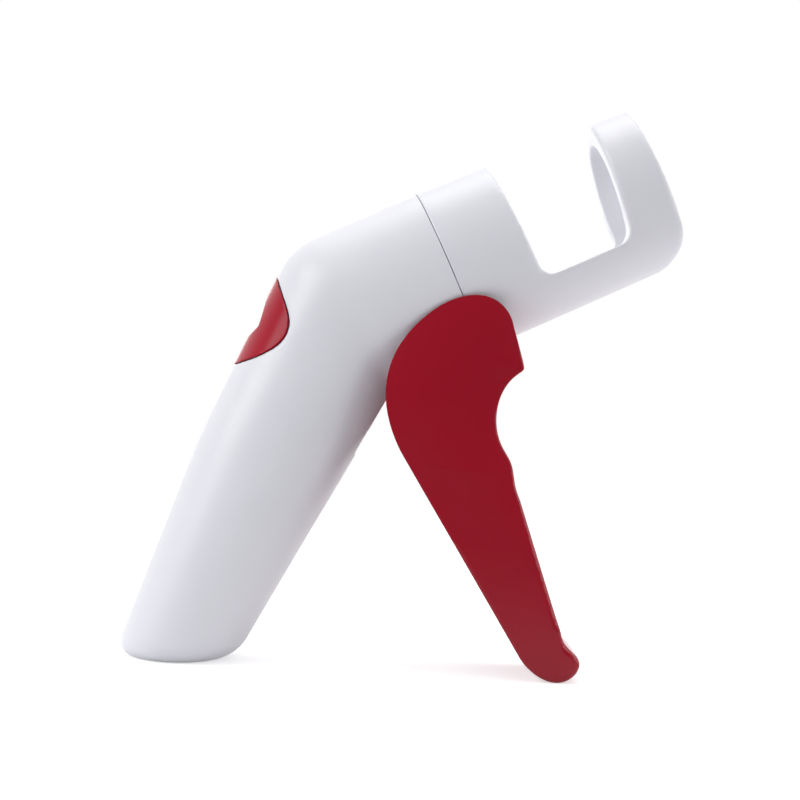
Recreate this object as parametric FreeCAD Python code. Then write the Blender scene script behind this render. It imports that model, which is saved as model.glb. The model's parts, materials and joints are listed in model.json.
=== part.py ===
import FreeCAD, Part
import math
import os

# Hand-held fruit pitter: a tilted barrel on a leaning handle, worked by a hinged lever.
# The side plane is X-Z. The working origin is where the plunger axis crosses the seam;
# every piece is moved at the end, so that the part's origin is the middle of its footprint.

# Overall layout
barrel_tilt = 26.3
foot_drop = 90.0
barrel_half_width = 18.0
barrel_half_height = 19.4
wall = 2.2
fit_gap = 0.15
seam_gap = 0.12

# Handle
handle_back_angle = 71.4
handle_front_angle = 62.4
handle_back_x = -52.9
handle_back_z = -36.3
handle_front_x = -14.5
handle_front_z = -34.3
handle_top_half_width = 17.0
handle_foot_half_width = 15.0
upper_back_angle = 66.85
upper_back_x = -47.3
upper_back_z = -23.3
elbow_radius = 13.5
foot_radius = 2.0
corner_radius = 2.0
fan_depth = 6.0
fan_turns = 14
overrun = 6.0

# Head, along the plunger axis from the seam
head_length = 50.8
head_end_half_width = 17.3
head_end_half_height = 18.4
head_drop = 0.55
end_top_radius = 3.0
end_bottom_radius = 7.5
pocket_rear = 18.2
pocket_rear_lean = 1.6
pocket_front = 39.2
pocket_front_lean = 3.6
pocket_floor = 10.2
pocket_corner = 3.2
bowl_radius = 15.4
bowl_centre = 31.2
bowl_rise = 1.6
front_wall_start = 11.2
spigot_length = 5.0
spigot_wall = 1.6
spigot_root = 3.0
spigot_cheek_gap = 6.5
spigot_arm_gap = 0.4
pocket_top = 30.0
head_seat_half_width = 4.0
head_seat_drop = 18.0
gate_fit_gap = 0.1
arm_opening_rear = -30.0
arm_opening_foot = -26.0
arm_opening_knee = -17.1
arm_opening_top = -5.5
arm_opening_front = -0.5
arm_opening_knee_front = 0.6
arm_opening_top_front = 5.4

# Lever drive
pivot_back = 8.0
pivot_drop = 23.0
pivot_pin_diameter = 5.0
pivot_bush_wall = 1.0
pivot_bush_rim = 0.5
lug_radius = 6.6
lug_inner = 11.0
lug_outer = 16.8
swing = 50.0
arm_length = 33.0
arm_inner = 7.3
arm_outer = 9.9
arm_half_depth = 2.8
arm_side_room = 0.8
drive_pin_diameter = 3.5
pin_running_gap = 0.05

# Lever shell
ear_inner = 17.4
ear_outer = 19.8
web_wall = 2.8
lever_taper_start = -44.0
lever_tip_half_width = 11.5
lever_body_gap = 0.5
finger_wall_angle = 162.0
channel_lead = 9.0
channel_end_x = 26.4
channel_end_z = -86.6
arm_hub_radius = 5.6
arm_hub_front = 4.2
pin_head_extra = 1.25
pin_head_gap = 0.05
pin_head_height = 0.9
pin_head_seat = 1.0
pin_end_depth = 1.2
pin_end_gap = 0.1

# Plunger
rod_diameter = 5.0
rod_rear = -33.2
rod_front = 15.2
tip_diameter = 7.6
tip_length = 4.0
tip_front = 17.2
tip_blade = 2.2
tip_recess_gap = 0.5
tip_rim = 0.7
tip_hollow = 2.2
tip_hollow_root = 0.2
tip_gap_depth = 2.4
clip_place = 0.7
clip_groove = 0.5
clip_rim = 1.6
clip_gap = 0.02
bush_outer = 8.0
bush_flange = 10.0
bush_rear = 9.0
bush_front = 12.9

# Carriage and spring
carriage_half_width = 6.8
carriage_wall = 1.5
carriage_top = 13.5
carriage_bottom = -6.4
carriage_rear = -31.6
carriage_flange = 3.0
carriage_nose = 2.2
carriage_chamfer = 1.0
slot_side_gap = 0.45
slot_end_gap = 0.4
rail_gap = 0.2
rail_thickness = 2.0
rail_front = 9.0
spring_wire = 0.9
spring_mean_radius = 4.15
spring_turns = 8
washer_thickness = 0.6
washer_side_gap = 0.2
spring_end_gap = 0.05

# Lock
lock_travel = 4.0
lock_bar_thickness = 2.0

# Pit gate in the end wall
gate_hole_diameter = 11.0
gate_outer_diameter = 18.0
gate_thickness = 1.4
gate_slit = 0.5
gate_rim = 0.6
ring_thickness = 1.4

V = FreeCAD.Vector
Y_AXIS = V(0, 1, 0)
tilt = math.radians(barrel_tilt)
half_swing = math.radians(swing / 2)


def side(x, z):
    return V(x, 0, z)


def on_barrel(s, h, y=0.0):
    """The place that lies s along the plunger axis and h above it."""
    return V(s * math.cos(tilt) - h * math.sin(tilt), y, s * math.sin(tilt) + h * math.cos(tilt))


def tilted(shape):
    """A piece drawn along X, turned onto the plunger axis."""
    placed = shape.copy()
    placed.rotate(V(0, 0, 0), Y_AXIS, -barrel_tilt)
    return placed


def prism(points, y_low, y_high):
    """A flat plate: a closed outline in the side plane, thick from y_low to y_high."""
    closed = list(points) + [points[0]]
    face = Part.Face(Part.makePolygon([V(p.x, y_low, p.z) for p in closed]))
    return face.extrude(V(0, y_high - y_low, 0))


def prism_of_edges(edges, y_low, y_high):
    wire = Part.Wire(Part.__sortEdges__(edges))
    wire.translate(V(0, y_low, 0))
    return Part.Face(wire).extrude(V(0, y_high - y_low, 0))


def rod_along_y(centre, radius, y_low, y_high):
    return Part.makeCylinder(radius, y_high - y_low, V(centre.x, y_low, centre.z), Y_AXIS)


def rod_along_x(radius, x_low, x_high, h=0.0):
    return Part.makeCylinder(radius, x_high - x_low, V(x_low, 0, h), V(1, 0, 0))


def block(x_low, x_high, y_low, y_high, z_low, z_high):
    return Part.makeBox(x_high - x_low, y_high - y_low, z_high - z_low, V(x_low, y_low, z_low))


def both_sides(shape):
    """A piece on the near side and its mirror image on the far side."""
    return [shape, shape.mirror(V(0, 0, 0), Y_AXIS)]


def polar(angle):
    return V(math.cos(math.radians(angle)), 0, math.sin(math.radians(angle)))


def crossing(p, p_dir, q, q_dir):
    """Where two lines of the side plane meet."""
    det = p_dir.x * -q_dir.z + q_dir.x * p_dir.z
    t = ((q.x - p.x) * -q_dir.z + q_dir.x * (q.z - p.z)) / det
    return p + p_dir * t


unit_circle = Part.Circle(V(0, 0, 0), V(0, 0, 1), 1.0).toBSpline()


def oval(centre, along, half_depth, half_width):
    """An ellipse whose depth lies along a side-plane direction and whose width is Y."""
    poles = [centre + along * (half_depth * p.x) + Y_AXIS * (half_width * p.y) for p in unit_circle.getPoles()]
    curve = Part.BSplineCurve()
    curve.buildFromPolesMultsKnots(
        poles, unit_circle.getMultiplicities(), unit_circle.getKnots(),
        unit_circle.isPeriodic(), unit_circle.Degree, unit_circle.getWeights(),
    )
    return Part.Wire([curve.toShape()])


# Body form: handle and rear barrel as one bent tube
barrel_dir = polar(barrel_tilt)
barrel_up = polar(barrel_tilt + 90)
back_dir = polar(handle_back_angle)
front_dir = polar(handle_front_angle)
upper_dir = polar(upper_back_angle)
handle_angle = (handle_back_angle + handle_front_angle) / 2
back_point = side(handle_back_x, handle_back_z)
front_point = side(handle_front_x, handle_front_z)
upper_point = side(upper_back_x, upper_back_z)
back_knee = crossing(back_point, back_dir, upper_point, upper_dir)
top_point = on_barrel(0, barrel_half_height)
under_point = on_barrel(0, -barrel_half_height)
elbow_corner = crossing(upper_point, upper_dir, top_point, barrel_dir)
inner_corner = crossing(front_point, front_dir, under_point, barrel_dir)
far = 400.0
hair = 0.001


def rounded_path(before, corner, after, radius):
    """Two straight runs joined by an arc."""
    a = (before - corner).normalize()
    b = (after - corner).normalize()
    half = a.getAngle(b) / 2
    reach = radius / math.tan(half)
    start = corner + a * reach
    end = corner + b * reach
    middle_dir = (a + b).normalize()
    middle = corner + middle_dir * (radius / math.sin(half) - radius)
    return [
        Part.LineSegment(before, start).toShape(),
        Part.Arc(start, middle, end).toShape(),
        Part.LineSegment(end, after).toShape(),
    ]


outer_path = Part.Wire(
    [Part.LineSegment(back_knee - back_dir * far, back_knee).toShape()]
    + rounded_path(back_knee, elbow_corner, top_point + barrel_dir * far, elbow_radius)
)
inner_path = Part.Wire(
    rounded_path(front_point - front_dir * far, inner_corner, under_point + barrel_dir * far, corner_radius)
)


def cut_at(path, start, direction):
    ray = Part.LineSegment(start - direction * far, start + direction * far).toShape()
    return path.section(ray).Vertexes[0].Point


# Stations of the tube: each a place on it and the angle of its section there
fan_centre = inner_corner - polar((handle_angle + barrel_tilt) / 2 + 90) * fan_depth


def station_lines():
    section_angle = handle_angle + 90
    foot_place = front_point - front_dir * ((foot_drop + overrun + front_point.z) / front_dir.z)
    lines = [
        (foot_place, section_angle, handle_foot_half_width),
        (back_knee, section_angle, handle_top_half_width),
        (fan_centre, section_angle, handle_top_half_width),
    ]
    for step in range(1, fan_turns + 1):
        share = step / fan_turns
        angle = section_angle + (barrel_tilt - handle_angle) * share
        half_width = handle_top_half_width + (barrel_half_width - handle_top_half_width) * share
        lines.append((fan_centre, angle, half_width))
    lines.append((on_barrel(2 * overrun, 0), barrel_tilt + 90, barrel_half_width))
    return lines


def body_form(inset):
    """The solid bent tube, with its surface moved in by inset."""
    wires = []
    for place, angle, half_width in station_lines():
        direction = polar(angle)
        inner = cut_at(inner_path, place, direction)
        outer = cut_at(outer_path, place, direction)
        half_depth = (outer - inner).Length / 2 - inset
        wires.append(oval((outer + inner) * 0.5, direction, half_depth, half_width - inset))
    return Part.makeLoft(wires, True, True)


def head_form(inset, s_low, s_high):
    """The oval tube of the head, drawn along X: tapered from the seam on, and straight behind it."""
    wires = []
    for s in (s_low, s_high):
        share = max(0.0, s) / head_length
        half_height = barrel_half_height + (head_end_half_height - barrel_half_height) * share
        half_width = barrel_half_width + (head_end_half_width - barrel_half_width) * share
        wires.append(oval(V(s, 0, -head_drop * share), V(0, 0, 1), half_height - inset, half_width - inset))
    return Part.makeLoft(wires, True, True)


def beyond_seam(start):
    return tilted(block(start, far, -far, far, -far, far))


def below(z):
    return block(-far, far, -far, far, z - far, z)


# Places that several pieces share
pivot = on_barrel(-pivot_back, -pivot_drop)
pin_back = arm_length * math.sin(half_swing)
pin_low = arm_length * math.cos(half_swing) - pivot_drop
pin_high = arm_length - pivot_drop
pin_rest = -pivot_back - pin_back
travel = 2 * pin_back
foot_z = -foot_drop
up_wall = polar(upper_back_angle + 90)
thumb_rise = 8.5
thumb_origin = upper_point + upper_dir * thumb_rise
hook_base = side(-0.9, -37.9)
hook_in = polar(handle_front_angle + 90)
hook_reach = 19.0
hook_half_depth = 2.4
hook_half_width = 2.3
notch_start = 15.0
notch_end = 17.6
notch_top = 1.2
lip_slope_start = 17.8
lip_slope_end = -0.2
tooth_start = 15.3
tooth_end = 16.9
tooth_top = -4.7
tooth_height = 4.2
lock_bar_depth = 3.0
lock_bar_knee = 28.0
lock_bar_slope = 2.4
tooth_chamfer = 0.5
hook_gap = 1.0
hook_root = -6.0
hook_room_start = 5.0
hook_room_end = 18.0
hook_room_above = 3.0


def at_hook(u, v):
    """A place in the frame of the closed hook: u into the handle, v up along its front."""
    return hook_base + hook_in * u + front_dir * v


def at_thumb(p, q):
    """A place at the thumb rest: p up along the back, q out of it."""
    return thumb_origin + upper_dir * p + up_wall * q


def opened(shape):
    """A piece of the lever drawn in the squeezed position, turned back to rest."""
    turned = shape.copy()
    turned.rotate(pivot, Y_AXIS, -swing)
    return turned


# Thumb rest and slide
scoop_curve = [(8.9, 0.12), (4.6, -1.2), (1.5, -1.75)]
scoop_ledge = (-3.2, 0.4)
scoop_reach = 5.0
slide_middle = 3.05
channel_half_length = 5.4
channel_half_width = 3.4
channel_floor = -3.2
cap_half_length = 3.0
cap_half_width = 3.0
cap_top = -2.15
cap_seat = -3.0
stem_half_length = 1.6
stem_half_width = 1.9
stem_end = -9.5
rest_floor = -4.8
rest_half_width = 7.0
bar_seat = rest_floor - 0.7
bar_seat_gap = 0.2
bar_end_gap = 0.6
bar_shoulder = 0.3
ridge_radius = 0.45
ridge_count = 3
ridge_pitch = 1.7
ridge_sink = 0.1
ridge_end_gap = 0.4
stem_gap = 0.3
lens_reach = 14.0
slide_rest = slide_middle - lock_travel / 2
lens_places = [
    (14.25, 0.6), (10.6, -3.2), (8.6, -5.35), (6.85, -7.0), (5.0, -8.2), (2.9, -8.7),
    (0.9, -8.4), (-1.3, -7.35), (-4.8, -4.5), (-8.35, -0.5), (-9.4, 0.7),
]


def lens(grow):
    """The space of the thumb rest inlay, cut by a lens outline seen from the side."""
    places = [at_thumb(p, q) for p, q in lens_places]
    before = places[:1] + places[:-1]
    after = places[1:] + places[-1:]
    outline = []
    for place, last, following in zip(places, before, after):
        outwards = (following - last).cross(Y_AXIS).normalize()
        outline.append(place + outwards * grow)
    top = outline[0]
    bottom = outline[-1]
    out = up_wall * lens_reach
    curve = Part.BSplineCurve()
    curve.interpolate(outline)
    edges = [
        curve.toShape(),
        Part.LineSegment(bottom, bottom + out).toShape(),
        Part.LineSegment(bottom + out, top + out).toShape(),
        Part.LineSegment(top + out, top).toShape(),
    ]
    return prism_of_edges(edges, -far, far)


def thumb_block(p_low, p_high, q_low, q_high, half_width):
    corners = [at_thumb(p_low, q_low), at_thumb(p_high, q_low),
               at_thumb(p_high, q_high), at_thumb(p_low, q_high)]
    return prism(corners, -half_width, half_width)


def scoop():
    """The hollow for the thumb: a long slope down from the top and a short ledge below."""
    top, middle, low = [at_thumb(p, q) for p, q in scoop_curve]
    ledge = at_thumb(*scoop_ledge)
    out = up_wall * scoop_reach
    edges = [
        Part.Arc(top, middle, low).toShape(),
        Part.LineSegment(low, ledge).toShape(),
        Part.LineSegment(ledge, ledge + out).toShape(),
        Part.LineSegment(ledge + out, top + out).toShape(),
        Part.LineSegment(top + out, top).toShape(),
    ]
    return prism_of_edges(edges, -far, far)


def make_thumb_rest():
    skin = form.common(lens(0.0))
    slab = skin.common(thumb_block(-far, far, rest_floor, far, rest_half_width))
    rest = skin.cut(inner_form).fuse(slab)
    rest = rest.cut(scoop())
    rest = rest.cut(thumb_block(slide_middle - channel_half_length, slide_middle + channel_half_length,
                                channel_floor, far, channel_half_width))
    slot_half = stem_half_length + lock_travel / 2 + stem_gap
    slot = thumb_block(slide_middle - slot_half, slide_middle + slot_half, -far, far, stem_half_width + stem_gap)
    return rest.cut(slot)


def make_lock_slide():
    cap = thumb_block(slide_rest - cap_half_length, slide_rest + cap_half_length,
                      cap_seat, cap_top, cap_half_width)
    ridge_end = cap_half_width - ridge_end_gap
    for number in range(ridge_count):
        place = slide_rest + (number - (ridge_count - 1) / 2) * ridge_pitch
        cap = cap.fuse(rod_along_y(at_thumb(place, cap_top - ridge_sink), ridge_radius, -ridge_end, ridge_end))
    stem = thumb_block(slide_rest - stem_half_length, slide_rest + stem_half_length,
                       stem_end, cap_seat, stem_half_width)
    groove = thumb_block(-far, far, -far, bar_seat + bar_seat_gap, lock_bar_thickness / 2 + pin_running_gap)
    return cap.fuse(stem).cut(groove).removeSplitter()


def make_lock_bar():
    bar_top = tooth_top - tooth_height
    bar_foot = bar_top - lock_bar_depth
    outline = [
        at_hook(tooth_start, bar_foot + lock_bar_slope),
        at_hook(tooth_start, tooth_top - tooth_chamfer),
        at_hook(tooth_start + tooth_chamfer, tooth_top),
        at_hook(tooth_end, tooth_top),
        at_hook(tooth_end, bar_top),
        at_hook(lock_bar_knee, bar_top),
        at_thumb(slide_rest + stem_half_length, stem_end + bar_shoulder),
        at_thumb(slide_rest + stem_half_length, bar_seat),
        at_thumb(slide_rest - stem_half_length, bar_seat),
        at_thumb(slide_rest - stem_half_length, stem_end - bar_end_gap),
        at_hook(lock_bar_knee + tooth_chamfer, bar_foot),
        at_hook(tooth_start + lock_bar_slope, bar_foot),
    ]
    return prism(outline, -lock_bar_thickness / 2, lock_bar_thickness / 2)


# Body shells
screw_places = [side(-50.5, -76.0), side(-42.0, -52.0), side(-43.8, -32.5)]
screw_boss_radius = 3.4
screw_seat = 8.0
screw_radius = 1.25
screw_head_radius = 2.5
screw_head_height = 1.6
screw_end = -8.5
screw_hole_end = -9.5
screw_hole_gap = 0.1
screw_head_gap = 0.3
screw_cross_depth = 0.9
screw_cross_reach = 1.6
screw_cross_half_width = 0.35
rail_rear = -33.4
rail_side_gap = 0.2
rail_seat_length = 3.4
rail_seat_inner = 5.0
rail_seat_depth = 2.0
bush_press_gap = 0.02
cheek_front = -0.6
cheek_rear = -17.5
cheek_top = -11.5
cheek_shoulder = -16.5
cheek_heel_rear = -16.0
cheek_heel = -15.5
arm_room_front = 3.0
arm_room_drop = 30.0


def cheek_outline():
    foot = [pivot + polar(angle) * lug_radius for angle in range(200, 391, 10)]
    return foot + [on_barrel(cheek_front, cheek_shoulder), on_barrel(cheek_front, cheek_top),
                   on_barrel(cheek_rear, cheek_top), on_barrel(cheek_heel_rear, cheek_heel)]


def make_shells():
    outer = form.cut(below(foot_z))
    foot_edges = [edge for edge in outer.Edges if edge.BoundBox.ZMax < foot_z + 0.01]
    outer = outer.makeFillet(foot_radius, foot_edges)
    shell = outer.cut(inner_form.cut(below(foot_z + wall)))
    added = []
    for place in screw_places:
        added.append(rod_along_y(place, screw_boss_radius, -far, far).common(outer))
    added += both_sides(prism(cheek_outline(), -lug_outer, -lug_inner))
    seat_top = carriage_bottom - rail_gap - rail_thickness
    rail_seat = tilted(block(rail_rear, rail_rear + rail_seat_length, -far, -rail_seat_inner,
                             seat_top - rail_seat_depth, seat_top))
    added += [piece.common(outer) for piece in both_sides(rail_seat)]
    shell = shell.multiFuse(added)
    cuts = [beyond_seam(-seam_gap), lens(seam_gap)]
    cuts += [rod_along_y(pivot, pivot_pin_diameter / 2 + pivot_bush_wall + bush_press_gap, -far, far)]
    arm_room = [on_barrel(cheek_rear, -arm_room_drop), on_barrel(arm_room_front, -arm_room_drop),
                on_barrel(arm_room_front, cheek_top - seam_gap), on_barrel(cheek_rear, cheek_top - seam_gap)]
    cuts.append(prism(arm_room, hair - lug_inner, lug_inner - hair))
    room_low = tooth_top - tooth_height - lock_bar_depth
    room_high = hook_half_depth + hook_room_above
    hook_room = [at_hook(hook_room_start, room_low), at_hook(hook_room_end, room_low),
                 at_hook(hook_room_end, room_high), at_hook(hook_room_start, room_high)]
    cuts.append(prism(hook_room, -hook_half_width - hook_gap, hook_half_width + hook_gap))
    for place in screw_places:
        cuts.append(rod_along_y(place, screw_radius + screw_hole_gap, screw_hole_end, far))
        cuts.append(rod_along_y(place, screw_head_radius + screw_head_gap, screw_seat, far))
    shell = shell.cut(cuts)
    near = shell.cut(block(-far, far, 0, far, -far, far))
    distant = shell.cut(block(-far, far, -far, 0, -far, far))
    return near, distant


def make_screws():
    screws = []
    cross_floor = screw_seat + screw_head_height - screw_cross_depth
    for place in screw_places:
        shank = rod_along_y(place, screw_radius, screw_end, screw_seat)
        top = rod_along_y(place, screw_head_radius, screw_seat, screw_seat + screw_head_height)
        screw = shank.fuse(top)
        for angle in (0, 90):
            slot = block(-screw_cross_reach, screw_cross_reach, cross_floor, far,
                         -screw_cross_half_width, screw_cross_half_width)
            slot.rotate(V(0, 0, 0), Y_AXIS, angle)
            slot.translate(place)
            screw = screw.cut(slot)
        screws.append(screw)
    return Part.makeCompound(screws)


# Head
def pocket_space():
    rear_top = V(pocket_rear - pocket_rear_lean, 0, pocket_top)
    rear_foot = V(pocket_rear, 0, -pocket_floor)
    front_foot = V(pocket_front, 0, -pocket_floor)
    front_top = V(pocket_front + pocket_front_lean, 0, pocket_top)
    middle = (rear_foot + front_foot) * 0.5
    edges = rounded_path(rear_top, rear_foot, middle, pocket_corner)
    edges += rounded_path(middle, front_foot, front_top, pocket_corner)
    edges.append(Part.LineSegment(front_top, rear_top).toShape())
    return prism_of_edges(edges, -far, far)


def end_profile():
    top = V(head_length, 0, head_end_half_height - head_drop)
    bottom = V(head_length, 0, -head_end_half_height - head_drop)
    slope = (head_end_half_height - barrel_half_height - head_drop) / head_length
    low_slope = (barrel_half_height - head_end_half_height - head_drop) / head_length
    start_top = V(0, 0, barrel_half_height)
    start_bottom = V(0, 0, -barrel_half_height)
    middle = (top + bottom) * 0.5
    corner_top = V(head_length, 0, start_top.z + slope * head_length)
    edges = rounded_path(start_top, corner_top, middle, end_top_radius)
    edges += rounded_path(middle, V(head_length, 0, start_bottom.z + low_slope * head_length), start_bottom,
                          end_bottom_radius)
    edges.append(Part.LineSegment(start_bottom, start_top).toShape())
    return prism_of_edges(edges, -far, far)


def make_head():
    head = head_form(0.0, 0.0, head_length).common(end_profile())
    head = head.cut(pocket_space())
    head = head.cut(Part.makeSphere(bowl_radius, V(bowl_centre, 0, bowl_rise)))
    head = head.cut(head_form(wall, -1.0, front_wall_start))
    spigot = head_form(wall + fit_gap, -spigot_length, 0.5).cut(
        head_form(wall + fit_gap + spigot_wall, -spigot_length - 1, 2.0))
    root = head_form(wall / 2, 0.0, spigot_root).cut(
        head_form(wall + fit_gap + spigot_wall, -1.0, spigot_root + 1.0))
    cheek_gap = lug_inner + spigot_cheek_gap
    spigot = spigot.fuse(root).cut(block(-far, 0.0, -cheek_gap, cheek_gap, -far, carriage_bottom))
    arm_sides = (arm_inner - arm_side_room, arm_outer + arm_side_room)
    arm_slots = block(-far, far, arm_sides[0], arm_sides[1], 0.0, pin_high + arm_half_depth + spigot_arm_gap)
    spigot = spigot.cut(both_sides(arm_slots))
    seat_top = carriage_bottom - rail_gap - rail_thickness
    rail_seat = block(rail_front - rail_seat_length, front_wall_start + wall / 2, -head_seat_half_width,
                      head_seat_half_width, -head_seat_drop, seat_top)
    head = head.multiFuse([spigot, rail_seat])
    head = head.cut(rod_along_x(bush_outer / 2, front_wall_start - 1, bush_front))
    head = head.cut(rod_along_x(tip_diameter / 2 + tip_recess_gap, bush_front, bowl_centre))
    head = head.cut(rod_along_x(gate_hole_diameter / 2, bowl_centre, head_length + 1))
    recess = gate_thickness + ring_thickness
    head = head.cut(rod_along_x(gate_outer_diameter / 2 + gate_fit_gap, head_length - recess, head_length + 1))
    arms = prism([side(arm_opening_rear, arm_opening_foot), side(arm_opening_front, arm_opening_foot),
                  side(arm_opening_front, arm_opening_knee), side(arm_opening_knee_front, arm_opening_knee),
                  side(arm_opening_top_front, arm_opening_top), side(arm_opening_rear, arm_opening_top)],
                 arm_sides[0], arm_sides[1])
    return head.cut(both_sides(arms))


def make_gate():
    start = head_length - gate_thickness - ring_thickness
    gate = rod_along_x(gate_outer_diameter / 2, start, start + gate_thickness)
    reach = gate_hole_diameter / 2 - gate_rim
    for angle in (0, 60, 120):
        slit = block(0.0, far, -reach, reach, -gate_slit / 2, gate_slit / 2)
        slit.rotate(V(0, 0, 0), V(1, 0, 0), angle)
        gate = gate.cut(slit)
    return gate


def make_gate_ring():
    start = head_length - ring_thickness
    ring = rod_along_x(gate_outer_diameter / 2, start, head_length)
    return ring.cut(rod_along_x(gate_hole_diameter / 2 + gate_rim, start - 1, head_length + 1))


# Plunger group, drawn along X
def make_bush():
    bush = rod_along_x(bush_outer / 2, bush_rear, bush_front)
    bush = bush.fuse(rod_along_x(bush_flange / 2, bush_rear, front_wall_start))
    bore = rod_along_x(rod_diameter / 2 + pin_running_gap, bush_rear - 1, bush_front + 1)
    return bush.cut(bore).removeSplitter()


def make_carriage():
    front = pin_rest + drive_pin_diameter / 2 + slot_side_gap + carriage_nose
    inner = carriage_half_width - carriage_wall
    outer = block(carriage_rear, front, -carriage_half_width, carriage_half_width,
                  carriage_bottom, carriage_top)
    cavity = block(carriage_rear + carriage_flange, front + 1, -inner, inner, carriage_bottom - 1,
                   carriage_top - carriage_wall)
    reach = drive_pin_diameter / 2 + slot_side_gap
    end_reach = drive_pin_diameter / 2 + slot_end_gap
    slot = block(pin_rest - reach, pin_rest + reach, -far, far, pin_low - end_reach, pin_high + end_reach)
    carriage = outer.cut([cavity, slot, rod_along_x(rod_diameter / 2, carriage_rear - 1, 0)])
    top_edges = []
    for edge in carriage.Edges:
        box = edge.BoundBox
        if box.ZMin > carriage_top - 0.01 and (box.YLength < 0.01 or box.XMax < carriage_rear + 0.01):
            top_edges.append(edge)
    return carriage.makeChamfer(carriage_chamfer, top_edges)


def make_rail():
    top = carriage_bottom - rail_gap
    half_width = carriage_half_width - rail_side_gap
    return block(rail_rear, rail_front, -half_width, half_width, top - rail_thickness, top)


def make_rod():
    rod = rod_along_x(rod_diameter / 2, rod_rear, rod_front)
    groove = rod_along_x(rod_diameter, rod_rear + clip_place, carriage_rear).cut(
        rod_along_x(rod_diameter / 2 - clip_groove, rod_rear, carriage_rear))
    return rod.cut(groove)


def make_clip():
    ring = rod_along_x(rod_diameter / 2 + clip_rim, rod_rear + clip_place + clip_gap, carriage_rear - clip_gap)
    ring = ring.cut(rod_along_x(rod_diameter / 2 - clip_groove, rod_rear, carriage_rear))
    return ring.cut(block(rod_rear, carriage_rear, -clip_rim, clip_rim, -far, 0))


def make_tip():
    start = tip_front - tip_length
    tip = rod_along_x(tip_diameter / 2, start, tip_front)
    cone = Part.makeCone(tip_hollow_root, tip_diameter / 2 - tip_rim, tip_hollow,
                         V(tip_front - tip_hollow, 0, 0), V(1, 0, 0))
    tip = tip.cut(cone)
    for angle in (45, 135):
        gap = block(tip_front - tip_gap_depth, far, -tip_diameter, tip_diameter, -tip_blade / 2, tip_blade / 2)
        gap.rotate(V(0, 0, 0), V(1, 0, 0), angle)
        tip = tip.cut(gap)
    return tip.cut(rod_along_x(rod_diameter / 2, start - 1, rod_front))


def make_washer():
    start = carriage_rear + carriage_flange
    radius = carriage_half_width - carriage_wall - washer_side_gap
    washer = rod_along_x(radius, start, start + washer_thickness)
    return washer.cut(rod_along_x(rod_diameter / 2 + pin_running_gap, start - 1, start + 2))


def arc_towards(start, direction, end):
    """The arc that leaves start along a direction and reaches end."""
    chord = end - start
    unit = V(chord).normalize()
    bulge = direction - unit * direction.dot(unit)
    half_turn = direction.getAngle(chord)
    middle = (start + end) * 0.5 + bulge.normalize() * (chord.Length / 2 * math.tan(half_turn / 2))
    return Part.Arc(start, middle, end).toShape()


def biarc(start, start_dir, end, end_dir):
    """Two arcs that leave start and reach end along the given directions."""
    span = end - start
    total = start_dir + end_dir
    spread = 2 * (1 - start_dir.dot(end_dir))
    reach = (-span.dot(total) + math.sqrt(span.dot(total) ** 2 + spread * span.dot(span))) / spread
    joint = (start + end + (start_dir - end_dir) * reach) * 0.5
    return [arc_towards(start, start_dir, joint), arc_towards(end, end_dir * -1, joint)]


def make_spring():
    start = carriage_rear + carriage_flange + washer_thickness + spring_end_gap + spring_wire / 2
    end = bush_rear - spring_end_gap - spring_wire / 2
    quarters = 4 * spring_turns
    pitch = (end - start) / spring_turns

    def place(turn):
        angle = 2 * math.pi * turn
        radius = spring_mean_radius
        return V(start + pitch * turn, radius * math.cos(angle), radius * math.sin(angle))

    def heading(turn):
        angle = 2 * math.pi * turn
        run = 2 * math.pi * spring_mean_radius
        return V(pitch, -run * math.sin(angle), run * math.cos(angle)).normalize()

    edges = []
    for quarter in range(quarters):
        a = quarter / 4
        b = (quarter + 1) / 4
        edges += biarc(place(a), heading(a), place(b), heading(b))
    path = Part.Wire(edges)
    section = Part.Wire([Part.Circle(place(0), heading(0), spring_wire / 2).toShape()])
    steps = 48
    points = [place(number / steps) for number in range(spring_turns * steps + 1)]
    gap = min((points[i] - points[j]).Length for i in range(0, len(points), 4)
              for j in range(i + steps // 2, len(points)))
    print("spring: least gap between turns", round(gap - spring_wire, 2), "mm at rest,",
          round((end - start - travel) / spring_turns - spring_wire, 2), "mm squeezed")
    return path.makePipeShell([section], True, False)


# Lever
ear_points = [side(14.4, -12.0), side(13.0, -9.0), side(9.3, -6.3), side(3.8, -6.2), side(-5.7, -12.0),
              side(-10.8, -19.2), side(-12.5, -28.0), side(-11.3, -34.5), side(-8.6, -40.6)]
tail_points = [side(19.5, -84.2), side(23.0, -88.0), side(28.3, -90.0), side(32.5, -88.2),
               side(33.4, -85.1), side(31.2, -82.6), side(28.9, -79.2)]
arm_root_places = [(11.6, -36.5), (10.6, -31.5), (11.4, -27.0)]
finger_points = [side(17.8, -49.5), side(16.3, -45.0), side(15.6, -42.0), side(13.6, -38.8),
                 side(11.8, -31.5), side(13.4, -25.6), side(17.6, -21.6)]


def smooth(points):
    """One smooth curve through the points."""
    curve = Part.BSplineCurve()
    curve.interpolate(Points=points)
    return curve.toShape()


def lever_outline():
    """The outline of the lever seen from the side."""
    return [
        smooth(finger_points),
        Part.LineSegment(finger_points[-1], ear_points[0]).toShape(),
        smooth(ear_points),
        Part.LineSegment(ear_points[-1], tail_points[0]).toShape(),
        smooth(tail_points),
        Part.LineSegment(tail_points[-1], finger_points[0]).toShape(),
    ]


def lever_front(half_width, tip_half_width):
    """The lever's width, seen from the finger side, as a plate along X."""
    outline = [
        V(-far, -half_width, 20), V(-far, half_width, 20), V(-far, half_width, lever_taper_start),
        V(-far, tip_half_width, foot_z - 5), V(-far, -tip_half_width, foot_z - 5),
        V(-far, -half_width, lever_taper_start),
    ]
    return Part.Face(Part.makePolygon(outline + [outline[0]])).extrude(V(2 * far, 0, 0))


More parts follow.
